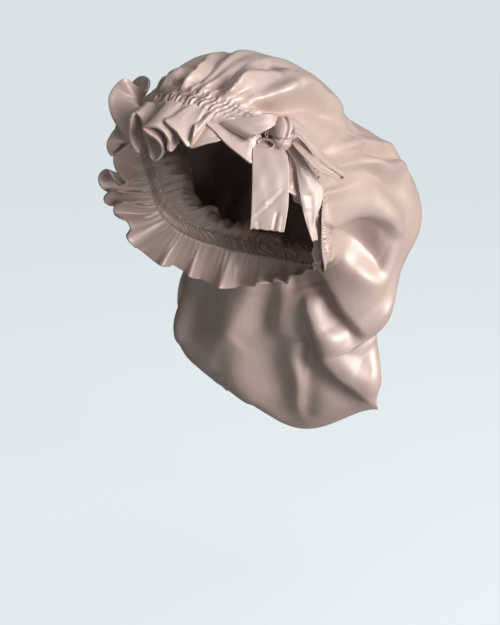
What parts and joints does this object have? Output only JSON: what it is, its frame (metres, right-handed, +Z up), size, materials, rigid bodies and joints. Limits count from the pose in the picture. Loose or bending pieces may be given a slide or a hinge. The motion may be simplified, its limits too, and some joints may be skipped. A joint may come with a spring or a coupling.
{
  "type": "sleep bonnet",
  "caption": "Long satin sleep bonnet: gathered crown running into a hanging bag, elastic casing, ruffle and a ribbon bow at the side.",
  "frame": {"origin": "middle of the head opening, where the head sits in the bonnet", "axes": "+Z up as worn, -Y the way the wearer faces, +X the wearer's left, where the bow is tied"},
  "size_m": [0.2435, 0.3312, 0.3527],
  "materials": {
    "crown_satin": "dusty rose satin, soft sheen, fine weave",
    "casing_satin": "the same satin, puckered over elastic between two stitch lines",
    "frill_satin": "the same satin, doubled, with a pressed outer edge",
    "ribbon_satin": "flat satin ribbon, doubled and pressed, softly creased"
  },
  "bodies": {
    "root": {"crown_bag": "crown_satin", "gathered_casing": "casing_satin", "frill": "frill_satin", "ribbon_tail_front": "ribbon_satin", "ribbon_tail_back": "ribbon_satin", "bow_loop_front": "ribbon_satin", "bow_loop_back": "ribbon_satin", "ribbon_knot": "ribbon_satin"}
  },
  "joints": []
}
